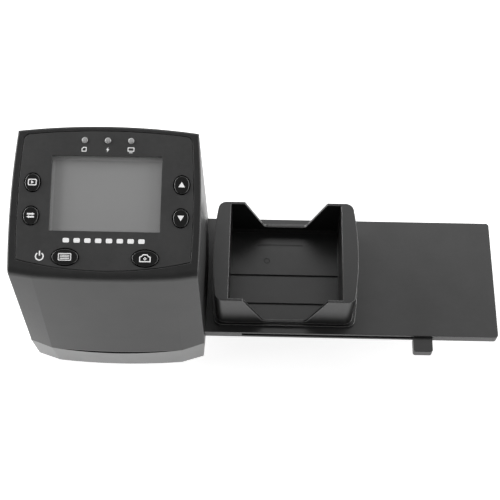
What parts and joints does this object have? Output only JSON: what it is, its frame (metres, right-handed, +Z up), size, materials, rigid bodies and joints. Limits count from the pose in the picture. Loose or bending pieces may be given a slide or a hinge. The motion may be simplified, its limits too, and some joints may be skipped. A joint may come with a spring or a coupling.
{
  "type": "film scanner",
  "caption": "Desktop film and slide scanner with a sloping screen panel, push buttons and a plug-in slide feeder with an open hopper and a sliding pusher.",
  "frame": {"origin": "middle of the whole object's footprint on the table, scanner and feeder together; Y = 0 is the middle of the film channel", "axes": "+X to the user's right, the way the feeder pulls out; +Y to the back; +Z up"},
  "size_m": [0.227, 0.0799, 0.1042],
  "materials": {
    "charcoal_plastic": "satin moulded charcoal",
    "panel_plastic": "flat satin-gloss sheet",
    "button_plastic": "smooth black",
    "feeder_plastic": "satin black moulding",
    "black_plastic": "matt black moulding",
    "white_plastic": "white, light-mixing",
    "opal_plastic": "opal sheet",
    "clear_pane": "clear pane",
    "screen_glass": "unlit liquid crystal screen",
    "lamp_plastic": "milky clear",
    "lamp_chip": "small lamp chips",
    "circuit_board": "green solder mask",
    "ribbon_film": "amber flexible film",
    "sensor_chip": "chip under a cover glass",
    "barrel_black": "black anodised",
    "lens_glass": "coated glass",
    "foot_rubber": "matt black",
    "screw_steel": "plated steel",
    "switch_metal": "pressed cover",
    "socket_metal": "plated shell"
  },
  "bodies": {
    "scanner": {"housing": "charcoal_plastic", "base_cover": "charcoal_plastic", "rubber_feet": "foot_rubber", "base_screws": "screw_steel", "overlay_panel": "panel_plastic", "screen_window": "clear_pane", "lcd_module": "screen_glass", "lcd_frame": "black_plastic", "main_board": "circuit_board", "main_board_screws": "screw_steel", "tact_switches": "switch_metal", "status_leds": "lamp_chip", "light_guide": "lamp_plastic", "light_box": "white_plastic", "backlight_board": "circuit_board", "backlight_leds": "lamp_chip", "backlight_lead": "ribbon_film", "diffuser": "opal_plastic", "film_gate_lower": "black_plastic", "film_gate_upper": "black_plastic", "gate_screws": "screw_steel", "lens_holder": "black_plastic", "lens_barrel": "barrel_black", "lens_elements": "lens_glass", "image_sensor": "sensor_chip", "sensor_board": "circuit_board", "sensor_screws": "screw_steel", "sensor_ribbon": "ribbon_film", "port_board": "circuit_board", "port_screws": "screw_steel", "port_ribbon": "ribbon_film", "usb_socket": "socket_metal", "card_socket": "socket_metal"},
    "feeder": {"feeder_channel": "feeder_plastic", "feeder_deck": "feeder_plastic", "feeder_screws": "screw_steel", "slide_hopper": "feeder_plastic"},
    "pusher": {"pusher": "feeder_plastic"},
    "button_play": {"button_play": "button_plastic"},
    "button_swap": {"button_swap": "button_plastic"},
    "button_up": {"button_up": "button_plastic"},
    "button_down": {"button_down": "button_plastic"},
    "button_menu": {"button_menu": "button_plastic"},
    "button_capture": {"button_capture": "button_plastic"}
  },
  "joints": [
    {"name": "feeder_pull", "type": "slide", "parent": "scanner", "child": "feeder", "axis": [1, 0, 0], "range_m": [0, 0.09]},
    {"name": "pusher_slide", "type": "slide", "parent": "feeder", "child": "pusher", "axis": [-1, 0, 0], "range_m": [0, 0.0823]},
    {"name": "button_play_press", "type": "slide", "parent": "scanner", "child": "button_play", "axis": [0, 0.309, -0.9511], "range_m": [0, 0.0006], "stiffness_N_per_m": 1500},
    {"name": "button_swap_press", "type": "slide", "parent": "scanner", "child": "button_swap", "axis": [0, 0.309, -0.9511], "range_m": [0, 0.0006], "stiffness_N_per_m": 1500},
    {"name": "button_up_press", "type": "slide", "parent": "scanner", "child": "button_up", "axis": [0, 0.309, -0.9511], "range_m": [0, 0.0006], "stiffness_N_per_m": 1500},
    {"name": "button_down_press", "type": "slide", "parent": "scanner", "child": "button_down", "axis": [0, 0.309, -0.9511], "range_m": [0, 0.0006], "stiffness_N_per_m": 1500},
    {"name": "button_menu_press", "type": "slide", "parent": "scanner", "child": "button_menu", "axis": [0, 0.309, -0.9511], "range_m": [0, 0.0006], "stiffness_N_per_m": 1500},
    {"name": "button_capture_press", "type": "slide", "parent": "scanner", "child": "button_capture", "axis": [0, 0.309, -0.9511], "range_m": [0, 0.0006], "stiffness_N_per_m": 1500}
  ]
}
